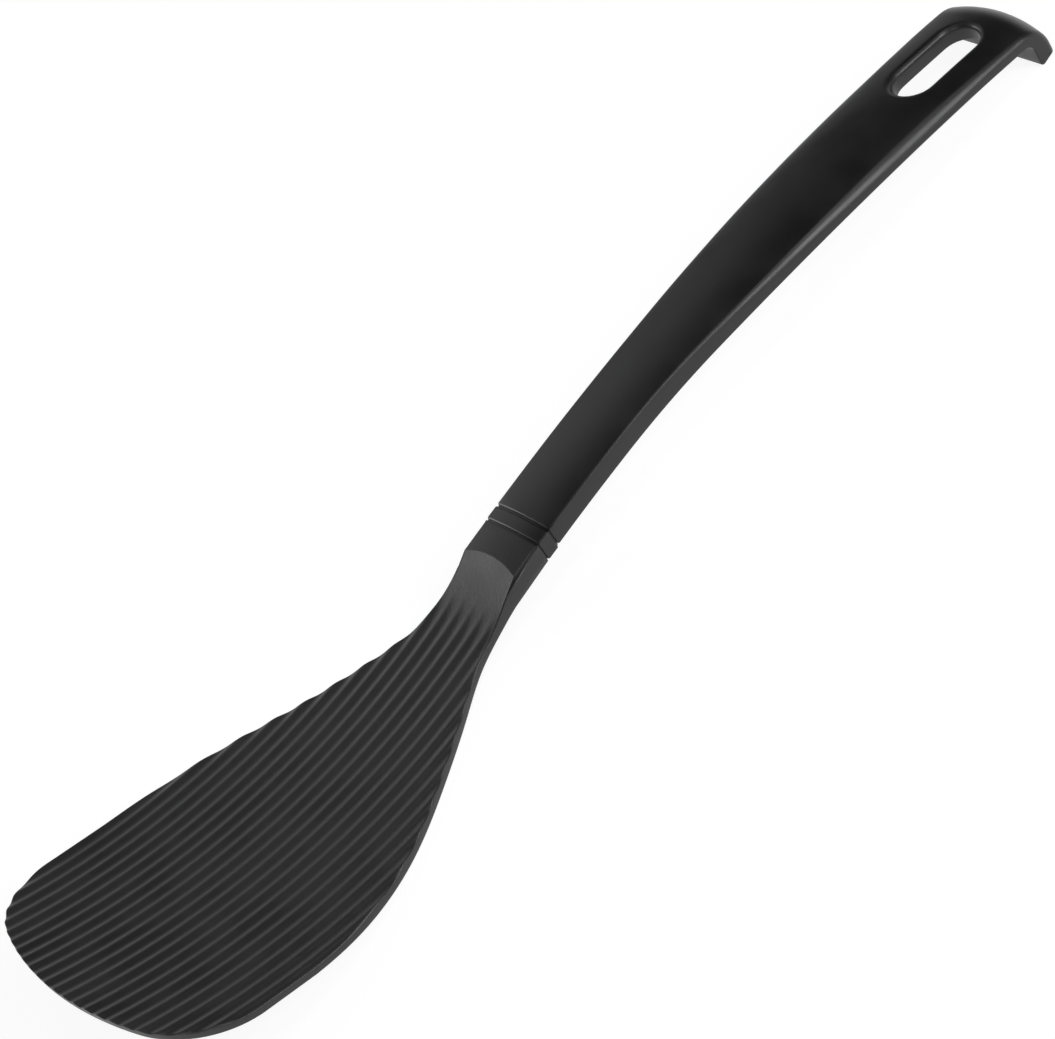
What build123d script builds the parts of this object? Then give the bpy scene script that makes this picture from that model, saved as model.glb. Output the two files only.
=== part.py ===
# Rice paddle: a ribbed nylon head whose tang runs through a collar ring into a bowed two-piece handle.
# Millimetres. The paddle lies on a table as it rests: the blade's belly and the hook's lip touch z = 0.
# X runs from the blade's tip to the hook, Y to the left and Z up. The origin is under its middle.
import os
from math import asin, degrees, sqrt
from build123d import *

# Whole paddle
overall_length = 323.7
overrun = 5.0

# Blade: a plate bent to one large radius, with ribs along its upper face
blade_under_radius = 192.5
blade_thickness = 2.4
blade_half_width = 41.3
tip_to_belly = 86.9
tip_radius = 88.0
tip_arc_half_width = 26.2
rib_pitch = 3.8
rib_count = 23
rib_depth = 0.45
rib_root = 0.25
rib_band_root = 0.7

# Plan of the blade's side between its widest place and the neck, as shares of that length and of the drop
side_length_shares = (0.24, 0.43, 0.60, 0.74, 0.84, 0.93)
side_drop_shares = (0.030, 0.215, 0.505, 0.757, 0.917, 0.979)

# Neck: the boxy root of the blade, with a scooped pad in front of it; lengths run forward from its end
tip_to_neck_end = 145.45
neck_half_width = 9.6
neck_depth = 6.5
neck_length = 10.95
neck_under_length = 27.95
scoop_length = 30.9
scoop_radius = 58.5
rib_end_length = 14.95

# Collar ring between the neck and the handle
collar_length = 4.3
collar_step = 0.05
collar_groove = 0.3
groove_depth = 0.45
ring_edge_radius = 0.5

# Handle: a bowed, crowned bar that widens towards the hook; shares are of its length, from the collar
bow_height = 19.33
bow_drop = 7.93
bow_top_share = 0.437
crown_radius = 57.8
handle_depth = 5.36
under_drop = 7.63
under_top_share = 0.457
waist_half_width = 9.7
butt_half_width = 14.4
waist_share = 0.1558
waist_swell_share = 0.28
handle_edge_radius = 1.8
handle_small_radius = 0.5

# Hook: the handle's end turned down to a lip
lip_thickness = 6.8
lip_inner_radius = 2.5
lip_outer_radius = 8.0
lip_plan_radius = 60.0
lip_foot_radius = 1.0
end_to_full_width = 31.85

# Hanging slot
slot_length = 26.4
slot_width = 11.3
end_to_slot = 23.6
slot_rim_radius = 1.5
slot_under_radius = 0.4

# Tang: the tongue of the blade that is held between the two parts of the handle
tang_half_width = 6.3
tang_thickness = 1.6
tang_cover_depth = 2.0
tang_reach = 51.0
tang_corner_radius = 3.0
fit_clearance = 0.1

# Back cover: a plate let into the underside of the handle, with posts in front of and behind the tang's end
cover_thickness = 1.2
cover_wall = 1.8
cover_front_wall = 1.9
cover_to_slot = 5.9
cover_corner_radius = 3.0
post_radius = 1.5
post_top_depth = 1.1
tang_post_shares = (0.32, 0.74)
rear_post_shares = (0.224, 0.887)

# Coring pockets that keep the walls of the handle shell even
pocket_depth = 1.5
pocket_wall = 3.2
pocket_count = 3
pocket_rib = 1.6
post_to_pocket = 3.25


def along(distance):
    """X of a place given by its distance from the blade's tip."""
    return distance - overall_length / 2


def arch_radius(span, drop):
    """Radius of an arc that falls by a drop over a span from its top."""
    return (span**2 + drop**2) / (2 * drop)


belly_x = along(tip_to_belly)
neck_end_x = along(tip_to_neck_end)
handle_x = neck_end_x + collar_length
end_x = along(overall_length)
handle_length = end_x - handle_x
bow_top_x = handle_x + handle_length * bow_top_share
bow_radius = arch_radius(end_x - bow_top_x, bow_drop)
under_top_x = handle_x + handle_length * under_top_share
under_radius = arch_radius(end_x - under_top_x, under_drop)
full_width_x = end_x - end_to_full_width
lip_inner_x = end_x - lip_thickness
slot_x = end_x - end_to_slot
cover_end_x = slot_x - slot_length / 2 - cover_to_slot
tang_end_x = handle_x + tang_reach
crest_radius = blade_under_radius - blade_thickness
valley_radius = crest_radius + rib_depth
plate_radius = valley_radius + rib_root
head_room = bow_height + overrun


def on_blade(radius, x):
    """Point of an arc about the blade's axis, in the side view."""
    return Vector(x, 0, blade_under_radius - sqrt(radius**2 - (x - belly_x) ** 2))


def on_bow(depth, x):
    """Point that lies a depth below the handle's upper line, in the side view."""
    return Vector(x, 0, bow_height - bow_radius + sqrt((bow_radius - depth) ** 2 - (x - bow_top_x) ** 2))


def on_under(rise, x):
    """Point that lies a rise above the handle's lower line, in the side view."""
    reach = under_radius + rise
    centre_z = bow_height - handle_depth - under_radius
    return Vector(x, 0, centre_z + sqrt(reach**2 - (x - under_top_x) ** 2))


def arc_of(curve, offset, x_from, x_to):
    """Arc along one of the three curves above."""
    return ThreePointArc(curve(offset, x_from), curve(offset, (x_from + x_to) / 2), curve(offset, x_to))


def side_solid(edges, half_width):
    """Solid of a side-view outline, to both sides of the middle plane."""
    return extrude(make_face(Wire(edges)), amount=half_width, dir=(0, 1, 0), both=True)


def closed(points):
    """Straight edges through the points."""
    return [Line(start, end) for start, end in zip(points, points[1:])]


def plan_prism(edges):
    """Upright prism of half a plan outline, from middle line to middle line, and its mirror image."""
    half = Wire(edges)
    face = make_face(Wire(half.edges() + mirror(half, Plane.XZ).edges()))
    return Pos(0, 0, -overrun) * extrude(face, amount=head_room + 2 * overrun, dir=(0, 0, 1))


def upright_round(x, radius, z_from, z_to):
    """Upright round post or bore on the middle plane."""
    return Pos(x, 0, (z_from + z_to) / 2) * Cylinder(radius, z_to - z_from)


def crown(depth):
    """Everything under a crowned face that lies a depth below the handle's upper one."""
    reach = butt_half_width + overrun
    drop = crown_radius - sqrt(crown_radius**2 - reach**2)
    top = bow_height - depth
    low = top - bow_height - overrun
    edges = [
        ThreePointArc((bow_top_x, -reach, top - drop), (bow_top_x, 0, top), (bow_top_x, reach, top - drop)),
        *closed([(bow_top_x, reach, top - drop), (bow_top_x, reach, low), (bow_top_x, -reach, low),
                 (bow_top_x, -reach, top - drop)]),
    ]
    axis = Axis((bow_top_x, 0, bow_height - bow_radius), (0, 1, 0))
    half_angle = degrees(asin((end_x - neck_end_x) / bow_radius))
    return revolve(make_face(Wire(edges)).rotate(axis, -half_angle), axis, 2 * half_angle)


def crowned(solid, depth, x_from, x_to):
    """The solid with its upper face cut to the crown between two places."""
    width = 2 * butt_half_width
    block = Pos((x_from + x_to) / 2, 0, head_room / 2) * Box(x_to - x_from, width, head_room + 2 * overrun)
    return solid - (block - crown(depth))


def rounded_bar(x_from, x_to, half_width, corner_radius):
    """Upright prism with rounded corners between two places."""
    outline = RectangleRounded(x_to - x_from, 2 * half_width, corner_radius)
    return Pos((x_from + x_to) / 2, 0, -overrun) * extrude(outline, amount=head_room + 2 * overrun)


def s_curve(start, end, share):
    """Two tangent arcs that leave start and reach end parallel to X, meeting at a share of the way."""
    middle = start + (end - start) * share
    first = TangentArc(start, middle, tangent=(1, 0, 0))
    return [first, TangentArc(middle, end, tangent=first % 1)]


def blade_plan():
    """Prism of the blade and the neck, seen from above."""
    tip_x = along(0)
    tip_arc_x = tip_x + tip_radius - sqrt(tip_radius**2 - tip_arc_half_width**2)
    tip_arc_middle = tip_x + tip_radius - sqrt(tip_radius**2 - (tip_arc_half_width / 2) ** 2)
    tip_arc = ThreePointArc((tip_x, 0, 0), (tip_arc_middle, tip_arc_half_width / 2, 0),
                            (tip_arc_x, tip_arc_half_width, 0))
    heading = tip_arc_half_width / tip_radius
    corner_rise = blade_half_width - tip_arc_half_width
    corner_radius = corner_rise / (1 - heading)
    wide = Vector(tip_arc_x + corner_radius * sqrt(1 - heading**2), blade_half_width, 0)
    corner = TangentArc(tip_arc @ 1, wide, tangent=tip_arc % 1)
    neck = Vector(neck_end_x - neck_length, neck_half_width, 0)
    run = neck.X - wide.X
    drop = wide.Y - neck.Y
    points = [Vector(wide.X + run * far, wide.Y - drop * low, 0)
              for far, low in zip(side_length_shares, side_drop_shares)]
    side = Spline(wide, *points, neck, tangents=((1, 0, 0), (1, 0, 0)))
    back = [neck, Vector(neck_end_x, neck_half_width, 0), Vector(neck_end_x, 0, 0)]
    return plan_prism([tip_arc, corner, side, *closed(back)])


def rib_band():
    """Corrugated skin of the blade: rounded ribs and hollows, revolved about the blade's own axis."""
    crest_z = blade_thickness
    valley_z = crest_z - rib_depth
    middle_z = (crest_z + valley_z) / 2
    low_z = valley_z - rib_band_root
    quarter = rib_pitch / 4
    first_y = -rib_pitch * (rib_count - 1) / 2
    edges = []
    for wave in range(2 * rib_count - 1):
        y = first_y + wave * rib_pitch / 2
        top_z = valley_z if wave % 2 else crest_z
        edges.append(ThreePointArc((belly_x, y - quarter, middle_z), (belly_x, y, top_z),
                                   (belly_x, y + quarter, middle_z)))
    edge_y = quarter - first_y
    corners = [(edge_y, middle_z), (edge_y, low_z), (-edge_y, low_z), (-edge_y, middle_z)]
    edges += closed([(belly_x, y, z) for y, z in corners])
    axis = Axis((belly_x, 0, blade_under_radius), (0, -1, 0))
    back_angle = degrees(asin((tip_to_belly + overrun) / crest_radius))
    front_angle = degrees(asin((neck_end_x - rib_end_length - belly_x) / crest_radius))
    return revolve(make_face(Wire(edges)).rotate(axis, -back_angle), axis, back_angle + front_angle)


def neck_shoulder_z():
    """Height of the neck's underside at its shoulder."""
    return on_bow(2 * collar_step + neck_depth, neck_end_x).Z


def blade_side():
    """Side view of the plate, the scooped pad and the neck, without ribs."""
    start_x = along(-overrun)
    scoop_x = neck_end_x - scoop_length
    under_x = neck_end_x - neck_under_length
    scoop_start = on_blade(plate_radius, scoop_x)
    to_axis = (Vector(belly_x, 0, blade_under_radius) - scoop_start).normalized()
    centre = scoop_start + to_axis * scoop_radius
    rim_x = neck_end_x - neck_depth / 2
    rim = Vector(rim_x, 0, centre.Z - sqrt(scoop_radius**2 - (rim_x - centre.X) ** 2))
    scoop_tangent = Vector(to_axis.Z, 0, -to_axis.X)
    scoop = TangentArc(scoop_start, rim, tangent=scoop_tangent)
    shoulder = Vector(neck_end_x, 0, neck_shoulder_z())
    under_start = on_blade(blade_under_radius, under_x)
    under_slope = (under_x - belly_x) / (blade_under_radius - under_start.Z)
    shoulder_slope = (bow_top_x - neck_end_x) / bow_radius
    under = Spline(under_start, shoulder, tangents=((1, 0, under_slope), (1, 0, shoulder_slope)))
    edges = [
        arc_of(on_blade, plate_radius, start_x, scoop_x),
        scoop,
        *closed([rim, Vector(rim_x, 0, head_room), Vector(neck_end_x, 0, head_room), shoulder]),
        under,
        arc_of(on_blade, blade_under_radius, start_x, under_x),
        Line(on_blade(blade_under_radius, start_x), on_blade(plate_radius, start_x)),
    ]
    return side_solid(edges, blade_half_width + overrun)


def band(curve, first, second, x_from, x_to, half_width):
    """Curved bar between two offsets of one of the curves."""
    edges = [
        arc_of(curve, first, x_from, x_to),
        Line(curve(first, x_to), curve(second, x_to)),
        arc_of(curve, second, x_from, x_to),
        Line(curve(second, x_from), curve(first, x_from)),
    ]
    return side_solid(edges, half_width)


def tang_post_places():
    """X of the posts that pass through the tang."""
    return [handle_x + tang_reach * share for share in tang_post_shares]


def rear_post_places():
    """X of the posts between the tang's end and the cover's end."""
    return [tang_end_x + (cover_end_x - tang_end_x) * share for share in rear_post_shares]


def make_blade():
    """Blade, neck and tang: one moulding."""
    plan = blade_plan()
    head = crowned(blade_side() & plan, 2 * collar_step, neck_end_x - neck_length, neck_end_x + overrun)
    head += rib_band() & plan
    root_x = neck_end_x - neck_depth
    under_depth = tang_cover_depth + tang_thickness
    tang = band(on_bow, tang_cover_depth, under_depth, root_x, tang_end_x, tang_half_width)
    tang &= rounded_bar(root_x, tang_end_x, tang_half_width, tang_corner_radius)
    for x in tang_post_places():
        tang -= upright_round(x, post_radius + fit_clearance, 0, head_room)
    return head + tang


def tang_hole(x_from, x_to):
    """Closed passage around the tang."""
    upper = tang_cover_depth - fit_clearance
    lower = tang_cover_depth + tang_thickness + fit_clearance
    return band(on_bow, upper, lower, x_from, x_to, tang_half_width + fit_clearance)


def make_collar_ring():
    """Ring that closes the joint between the neck and the handle, with a narrow groove on each side."""
    half_width = waist_half_width - collar_step
    ring = ring_block(neck_end_x + collar_groove, handle_x - collar_groove, half_width, 0)
    ring = fillet(ring.edges(), ring_edge_radius)
    ring += ring_block(neck_end_x, handle_x, half_width - groove_depth, groove_depth)
    return ring - tang_hole(neck_end_x - overrun, handle_x + overrun)


def ring_block(x_from, x_to, half_width, inset):
    """Block of the ring's section between two places, drawn in by an inset above and below."""
    low = neck_shoulder_z() + collar_step + inset
    slope = (bow_top_x - neck_end_x) / bow_radius
    rise = slope * (x_to - x_from)
    lift = slope * (x_from - neck_end_x)
    corners = [(x_from, low + lift), (x_to, low + lift + rise), (x_to, head_room), (x_from, head_room)]
    points = [Vector(x, 0, z) for x, z in corners]
    block = side_solid(closed([*points, points[0]]), half_width)
    return block & crown(collar_step + inset)


def handle_side_line(inset, x_from):
    """One side of the handle's plan, from the middle line to its widest place, drawn in by an inset."""
    waist = Vector(handle_x + handle_length * waist_share, waist_half_width - inset, 0)
    full = Vector(full_width_x, butt_half_width - inset, 0)
    corner = Vector(x_from, waist.Y, 0)
    return [Line((x_from, 0, 0), corner), Line(corner, waist), *s_curve(waist, full, waist_swell_share)]


def handle_plan():
    """Prism of the handle seen from above, with the hook's rounded end."""
    outline = handle_side_line(0, handle_x)
    centre_x = end_x - lip_plan_radius
    half = butt_half_width / 2
    corner = Vector(centre_x + sqrt(lip_plan_radius**2 - butt_half_width**2), butt_half_width, 0)
    middle = Vector(centre_x + sqrt(lip_plan_radius**2 - half**2), half, 0)
    end = ThreePointArc(corner, middle, (end_x, 0, 0))
    return plan_prism([*outline, Line(outline[-1] @ 1, corner), end])


def handle_side():
    """Side view of the handle and its hook, open above for the crown."""
    bend_x = lip_inner_x - lip_inner_radius
    bend_start = on_under(0, bend_x)
    bend_end = Vector(lip_inner_x, 0, bend_start.Z - lip_inner_radius)
    outer_x = end_x + overrun
    corners = [(lip_inner_x, 0), (outer_x, 0), (outer_x, head_room), (handle_x, head_room)]
    edges = [
        arc_of(on_under, 0, handle_x, bend_x),
        TangentArc(bend_start, bend_end, tangent=(1, 0, 0)),
        *closed([bend_end, *[Vector(x, 0, z) for x, z in corners], on_under(0, handle_x)]),
    ]
    return side_solid(edges, butt_half_width + overrun)


def slot_prism():
    """Hanging slot with round ends."""
    radius = slot_width / 2
    straight = slot_length / 2 - radius
    diagonal = radius * sqrt(0.5)
    front = ThreePointArc((slot_x - slot_length / 2, 0, 0), (slot_x - straight - diagonal, diagonal, 0),
                          (slot_x - straight, radius, 0))
    rear = ThreePointArc((slot_x + straight, radius, 0), (slot_x + straight + diagonal, diagonal, 0),
                         (slot_x + slot_length / 2, 0, 0))
    return plan_prism([front, Line(front @ 1, rear @ 0), rear])


def slot_rims(shell, upper):
    """Edges around the upper or the lower mouth of the slot."""
    rims = []
    for edge in shell.edges():
        centre = edge.center()
        box = edge.bounding_box()
        in_slot = abs(centre.X - slot_x) < slot_length / 2 + fit_clearance and box.max.Y < slot_width
        level = max(box.size.X, box.size.Y) > slot_rim_radius
        above = centre.Z > on_bow(handle_depth / 2, centre.X).Z
        if in_slot and box.min.Y > -slot_width and level and above == upper:
            rims.append(edge)
    return rims


def cover_plan(inset):
    """Prism of the back cover's outline."""
    front_x = handle_x + cover_front_wall + inset
    rear_x = cover_end_x - inset
    outline = handle_side_line(cover_wall + inset, front_x)
    end = outline[-1] @ 1
    prism = plan_prism([*outline, Line(end, (end.X, 0, 0))])
    length = rear_x - front_x
    height = head_room + 2 * overrun
    prism &= Pos((front_x + rear_x) / 2, 0, head_room / 2) * Box(length, 2 * butt_half_width, height)
    corners = prism.edges().filter_by(Axis.Z)
    return fillet(corners.group_by(Axis.X)[0] + corners.group_by(Axis.X)[-1], cover_corner_radius - inset)


def cover_band(low_rise, high_rise, inset):
    """Layer with the cover's outline between two rises above the handle's lower line."""
    layer = band(on_under, low_rise, high_rise, handle_x, cover_end_x, butt_half_width)
    return layer & cover_plan(inset)


def add_posts(solid, growth):
    """The solid with the cover's four posts, or a solid of the bores that they stand in."""
    for x in tang_post_places() + rear_post_places():
        low = on_under(cover_thickness / 2, x).Z
        top = on_bow(post_top_depth, x).Z
        solid += upright_round(x, post_radius + growth, low, top + growth)
    return solid


def handle_recess():
    """Space for the cover, its posts and the tang, and the coring pockets behind the tang."""
    recess = add_posts(cover_band(-overrun, cover_thickness, 0), fit_clearance)
    rear_x = tang_end_x + fit_clearance
    front_x = handle_x + cover_front_wall
    upper = tang_cover_depth - fit_clearance
    half_width = tang_half_width + fit_clearance
    pocket = band(on_bow, upper, handle_depth, front_x, rear_x, half_width)
    recess += pocket & rounded_bar(front_x - tang_corner_radius, rear_x, half_width, tang_corner_radius)
    recess += tang_hole(handle_x - overrun, front_x + tang_corner_radius)
    first_post_x, last_post_x = rear_post_places()
    row_length = last_post_x - first_post_x - 2 * post_to_pocket
    length = (row_length - pocket_rib * (pocket_count - 1)) / pocket_count
    ceiling = cover_thickness + pocket_depth
    for number in range(pocket_count):
        x = first_post_x + post_to_pocket + number * (length + pocket_rib)
        recess += band(on_under, 0, ceiling, x, x + length, waist_half_width - pocket_wall)
    return recess


def outer_edges(shell):
    """Long upper edges of the handle with the edges that run down the hook's outer corners."""
    chosen = []
    corner_x = lip_inner_x + lip_thickness / 4
    for edge in shell.edges():
        centre = edge.center()
        at_side = abs(centre.Y) > waist_half_width - fit_clearance
        on_top = centre.X < corner_x and centre.Z > on_bow(handle_depth / 2, centre.X).Z
        on_corner = centre.X > corner_x and centre.Z > lip_foot_radius
        if at_side and (on_top or on_corner):
            chosen.append(edge)
    return chosen


def make_handle_shell():
    """Upper part of the handle with its hook, its slot and the recess for the tang and the cover."""
    shell = (handle_side() & crown(0) & handle_plan()) - slot_prism()
    shell = fillet(slot_rims(shell, True), slot_rim_radius)
    shell = fillet(slot_rims(shell, False), slot_under_radius)
    end_edges = [edge for edge in shell.edges()
                 if edge.center().X > end_x - fit_clearance and edge.center().Z > lip_outer_radius]
    shell = fillet(end_edges, lip_outer_radius)
    shell = fillet(outer_edges(shell), handle_edge_radius)
    shell = fillet(shell.faces().sort_by(Axis.X)[0].edges(), handle_small_radius)
    shell = fillet(shell.faces().sort_by(Axis.Z)[0].edges(), lip_foot_radius)
    return shell - handle_recess()


def make_back_cover():
    """Plate that closes the underside of the handle, with four posts; two of them pass through the tang."""
    return add_posts(cover_band(0, cover_thickness - fit_clearance, fit_clearance), 0)


def main():
    os.makedirs("parts", exist_ok=True)
    nodes = {
        "blade": make_blade(),
        "collar_ring": make_collar_ring(),
        "handle_shell": make_handle_shell(),
        "handle_back_cover": make_back_cover(),
    }
    for name, solid in nodes.items():
        solid.label = name
        export_step(solid, f"parts/{name}.step")
        print(name, "volume", round(solid.volume, 1), "solids", len(solid.solids()))


main()
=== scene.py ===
# Rice paddle: a ribbed scoop on a bowed handle, lying on a pale table. Metres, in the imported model's frame.
# Each piece's dictionary is in millimetres, as the CAD sizes are, and finishedMesh scales the piece to metres.
import bmesh
import bpy
import math
import numpy as np
from mathutils import Matrix, Vector


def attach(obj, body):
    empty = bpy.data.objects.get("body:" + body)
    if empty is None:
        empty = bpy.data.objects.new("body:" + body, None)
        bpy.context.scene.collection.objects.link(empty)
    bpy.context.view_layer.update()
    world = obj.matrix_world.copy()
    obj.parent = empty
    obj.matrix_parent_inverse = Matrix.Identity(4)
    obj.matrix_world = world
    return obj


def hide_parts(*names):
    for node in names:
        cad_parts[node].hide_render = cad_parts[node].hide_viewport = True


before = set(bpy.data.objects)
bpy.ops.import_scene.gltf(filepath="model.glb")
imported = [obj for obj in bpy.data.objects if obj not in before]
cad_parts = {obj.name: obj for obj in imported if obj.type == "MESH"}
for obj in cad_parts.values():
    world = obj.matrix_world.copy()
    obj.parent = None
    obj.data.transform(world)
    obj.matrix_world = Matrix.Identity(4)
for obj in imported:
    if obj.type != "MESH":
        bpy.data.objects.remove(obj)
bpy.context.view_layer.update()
millimetre = 0.001
print("frame loaded")

# Camera: fitted to the outline of the paddle in the photograph
camera = {
    "aim": (-0.010736, 0.002345, 0.010),
    "distance": 0.84179,
    "azimuth": 18.5898,
    "elevation": 40.3609,
    "roll": -35.5467,
    "lens": 125.66,
    "sensor": 36.0,
    "near": 0.05,
}


def makeCamera():
    turn = math.radians(camera["azimuth"])
    lift = math.radians(camera["elevation"])
    ahead = Vector((math.sin(turn) * math.cos(lift), math.cos(turn) * math.cos(lift), -math.sin(lift)))
    data = bpy.data.cameras.new("camera")
    data.lens = camera["lens"]
    data.sensor_width = camera["sensor"]
    data.clip_start = camera["near"]
    item = bpy.data.objects.new("camera", data)
    bpy.context.scene.collection.objects.link(item)
    level = ahead.to_track_quat("-Z", "Y").to_matrix()
    item.matrix_world = (Matrix.Translation(Vector(camera["aim"]) - ahead * camera["distance"])
                         @ (level @ Matrix.Rotation(math.radians(camera["roll"]), 3, "Z")).to_4x4())
    bpy.context.scene.camera = item


makeCamera()
print("camera made")

# Studio: softboxes round the paddle, and a white backdrop that ends above the horizon under a dark ceiling
room = {
    "glow": 0.0,  # the room's own light on the paddle
    "climb": (0.12, 0.30),  # how far up the backdrop starts to fade, and where it ends
    "backdrop": (1.0, 0.0),  # its strength below and above
}
lamps = {  # each softbox faces the middle of the paddle; places and sizes in metres, power in watts
    "keySoftbox": {"place": (0.523, -0.906, 0.340), "size": 0.45, "power": 3.20},
    "upperSoftbox": {"place": (0.433, -0.751, 0.677), "size": 0.45, "power": 3.10},
    "nearSoftbox": {"place": (0.000, -1.046, 0.340), "size": 0.45, "power": 0.80},
    "tipSoftbox": {"place": (-0.491, 0.924, 0.340), "size": 0.45, "power": 2.60},
    "lowBackSoftbox": {"place": (-0.109, 1.040, 0.340), "size": 0.45, "power": 0.62},
    "highBackSoftbox": {"place": (0.180, 0.848, 0.677), "size": 0.60, "power": 0.62},
    "padSoftbox": {"place": (-0.433, 0.751, 0.677), "size": 0.45, "power": 0.75},
    "hookSoftbox": {"place": (0.498, -0.232, 0.953), "size": 0.45, "power": 1.20},
    "topSoftbox": {"place": (0.038, 0.000, 1.099), "size": 0.45, "power": 0.75},
    "ringSoftbox": {"place": (-0.534, -0.683, 0.677), "size": 0.25, "power": 1.80},
}


def seenOrReflected(nodes, links):
    # One where the camera, a mirror or glass looks at the surface, none where light falls on it
    path = nodes.new("ShaderNodeLightPath")
    cameraOrGlossy = nodes.new("ShaderNodeMath")
    cameraOrGlossy.operation = "MAXIMUM"
    orGlass = nodes.new("ShaderNodeMath")
    orGlass.operation = "MAXIMUM"
    links.new(path.outputs["Is Camera Ray"], cameraOrGlossy.inputs[0])
    links.new(path.outputs["Is Glossy Ray"], cameraOrGlossy.inputs[1])
    links.new(cameraOrGlossy.outputs[0], orGlass.inputs[0])
    links.new(path.outputs["Is Transmission Ray"], orGlass.inputs[1])
    return orGlass.outputs[0]


def makeStudio():
    studio = bpy.data.worlds.new("studio")
    bpy.context.scene.world = studio
    studio.use_nodes = True
    nodes, links = studio.node_tree.nodes, studio.node_tree.links
    nodes.clear()
    glow = nodes.new("ShaderNodeBackground")
    glow.inputs["Strength"].default_value = room["glow"]
    toward = nodes.new("ShaderNodeSeparateXYZ")
    links.new(nodes.new("ShaderNodeTexCoord").outputs["Generated"], toward.inputs[0])
    climb = nodes.new("ShaderNodeMapRange")
    climb.interpolation_type = "SMOOTHSTEP"
    for label, value in zip(("From Min", "From Max", "To Min", "To Max"), room["climb"] + room["backdrop"]):
        climb.inputs[label].default_value = value
    links.new(toward.outputs["Z"], climb.inputs["Value"])
    backdrop = nodes.new("ShaderNodeBackground")
    links.new(climb.outputs["Result"], backdrop.inputs["Strength"])
    mix = nodes.new("ShaderNodeMixShader")
    out = nodes.new("ShaderNodeOutputWorld")
    links.new(seenOrReflected(nodes, links), mix.inputs[0])
    links.new(glow.outputs[0], mix.inputs[1])
    links.new(backdrop.outputs[0], mix.inputs[2])
    links.new(mix.outputs[0], out.inputs["Surface"])
    for name, lamp in lamps.items():
        data = bpy.data.lights.new(name, "AREA")
        data.shape = "DISK"
        data.size = lamp["size"]
        data.energy = lamp["power"]
        item = bpy.data.objects.new(name, data)
        place = Vector(lamp["place"])
        item.location = place
        item.rotation_mode = "QUATERNION"
        item.rotation_quaternion = (-place).to_track_quat("-Z", "Y")
        bpy.context.scene.collection.objects.link(item)


makeStudio()
print("studio made")

# Plastics: two shader groups make the moulded grain and the wear, and each plastic sets its own values
mouldGrain = {
    "pits": 1800.0, "pitDetail": 2.0, "pitRoughness": 0.6,  # pits to the metre
    "swell": 90.0, "swellDetail": 3.0, "swellHeight": 0.35,
    "patches": (0.35, 0.65), "dustiness": 0.45,
}
handlingWear = {
    "edge": (0.52, 0.62), "rubs": 0.3,  # pointiness at which the polish starts and is full
    "streaks": 420.0, "streakDetail": 4.0, "streakRoughness": 0.65, "streakLength": (0.12, 1.0, 1.0),
    "streakRange": (0.60, 0.78),
}


def newGroup(name, inputs, outputs):
    group = bpy.data.node_groups.new(name, "ShaderNodeTree")
    for label, value in inputs.items():
        group.interface.new_socket(label, in_out="INPUT", socket_type="NodeSocketFloat").default_value = value
    for label in outputs:
        group.interface.new_socket(label, in_out="OUTPUT", socket_type="NodeSocketFloat")
    return group, group.nodes.new("NodeGroupInput"), group.nodes.new("NodeGroupOutput")


def noise(tree, place, scale, detail, roughness=0.5):
    node = tree.nodes.new("ShaderNodeTexNoise")
    node.inputs["Detail"].default_value = detail
    node.inputs["Roughness"].default_value = roughness
    tree.links.new(place, node.inputs["Vector"])
    if isinstance(scale, (int, float)):
        node.inputs["Scale"].default_value = scale
    else:
        tree.links.new(scale, node.inputs["Scale"])
    return node.outputs["Fac"]


def sums(tree, operation, *values):
    node = tree.nodes.new("ShaderNodeMath")
    node.operation = operation
    for index, value in enumerate(values):
        if isinstance(value, (int, float)):
            node.inputs[index].default_value = value
        else:
            tree.links.new(value, node.inputs[index])
    return node.outputs[0]


def spread(tree, value, low, high, toLow, toHigh):
    node = tree.nodes.new("ShaderNodeMapRange")
    for label, setting in (("From Min", low), ("From Max", high), ("To Min", toLow), ("To Max", toHigh)):
        if isinstance(setting, (int, float)):
            node.inputs[label].default_value = setting
        else:
            tree.links.new(setting, node.inputs[label])
    tree.links.new(value, node.inputs["Value"])
    return node.outputs["Result"]


def makeGrainGroup():
    # Spark-eroded mould grain: fine pits over a slow swell, as a height and as a mask for the roughness
    inputs = {"Pits Per Metre": mouldGrain["pits"], "Swell Per Metre": mouldGrain["swell"]}
    group, given, gives = newGroup("mouldedGrain", inputs, ("Height", "Patches"))
    place = group.nodes.new("ShaderNodeTexCoord").outputs["Object"]
    pits = noise(group, place, given.outputs["Pits Per Metre"], mouldGrain["pitDetail"],
                 mouldGrain["pitRoughness"])
    swell = noise(group, place, given.outputs["Swell Per Metre"], mouldGrain["swellDetail"])
    height = sums(group, "MULTIPLY_ADD", swell, mouldGrain["swellHeight"], pits)
    group.links.new(height, gives.inputs["Height"])
    group.links.new(spread(group, swell, *mouldGrain["patches"], 0.0, 1.0), gives.inputs["Patches"])
    return group


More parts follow.
